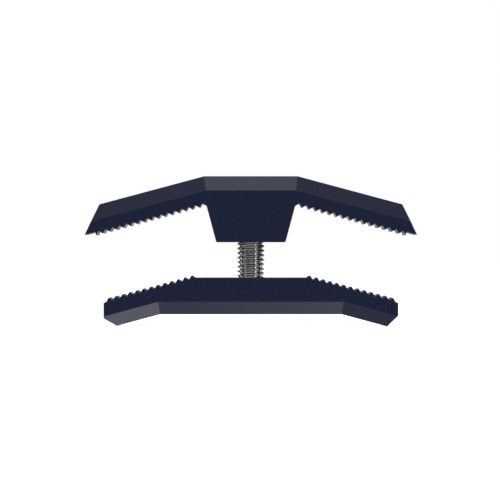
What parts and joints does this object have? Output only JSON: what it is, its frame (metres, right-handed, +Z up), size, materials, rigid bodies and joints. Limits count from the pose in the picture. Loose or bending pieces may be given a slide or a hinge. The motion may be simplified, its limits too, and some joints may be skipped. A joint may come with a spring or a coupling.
{
  "type": "double wing panel clamp",
  "caption": "Screw clamp whose upper and lower jaws each have two toothed wings sloping down from the middle, to grip two square-edged panels that meet at a shallow ridge.",
  "frame": {"origin": "on the ground under the screw's axis, at the middle of the lower jaw's width and depth", "axes": "+Z up along the screw's axis, from the lower jaw to the upper jaw; +X along the wings, to the right when the face seen most is in front; +Y from front to back"},
  "size_m": [0.0726, 0.02, 0.0329],
  "materials": {
    "upper_jaw": "dark navy hard anodised over fine bead blasting",
    "head_retaining_ring": "phosphated spring steel",
    "thrust_washer": "ground stainless steel",
    "clamp_screw": "rolled thread and turned head in bare stainless steel",
    "screw_stop_clip": "phosphated spring steel",
    "lower_jaw": "dark navy hard anodised over fine bead blasting",
    "thread_insert": "turned stainless steel",
    "left_lock_pin": "ground steel",
    "right_lock_pin": "ground steel"
  },
  "bodies": {
    "upper_jaw_body": {"upper_jaw": "upper_jaw", "head_retaining_ring": "head_retaining_ring"},
    "swivel_body": {"thrust_washer": "thrust_washer"},
    "screw_body": {"clamp_screw": "clamp_screw", "screw_stop_clip": "screw_stop_clip"},
    "lower_jaw_body": {"lower_jaw": "lower_jaw", "thread_insert": "thread_insert", "left_lock_pin": "left_lock_pin", "right_lock_pin": "right_lock_pin"}
  },
  "joints": [
    {"name": "jaw_swivel", "type": "hinge", "parent": "upper_jaw_body", "child": "swivel_body", "pos_m": [0, 0, 0.02397], "axis": [0, 0, 1], "continuous": true},
    {"name": "screw_turn", "type": "hinge", "parent": "swivel_body", "child": "screw_body", "pos_m": [0, 0, 0.02487], "axis": [0, 0, -1], "range_deg": [0, 2628]},
    {"name": "jaw_travel", "type": "slide", "parent": "swivel_body", "child": "lower_jaw_body", "axis": [0, 0, 1], "range_m": [0, 0.0073]}
  ],
  "couplings": [
    {"joint": "screw_turn", "follows": "jaw_travel", "rad_per_m": 6283.2}
  ]
}
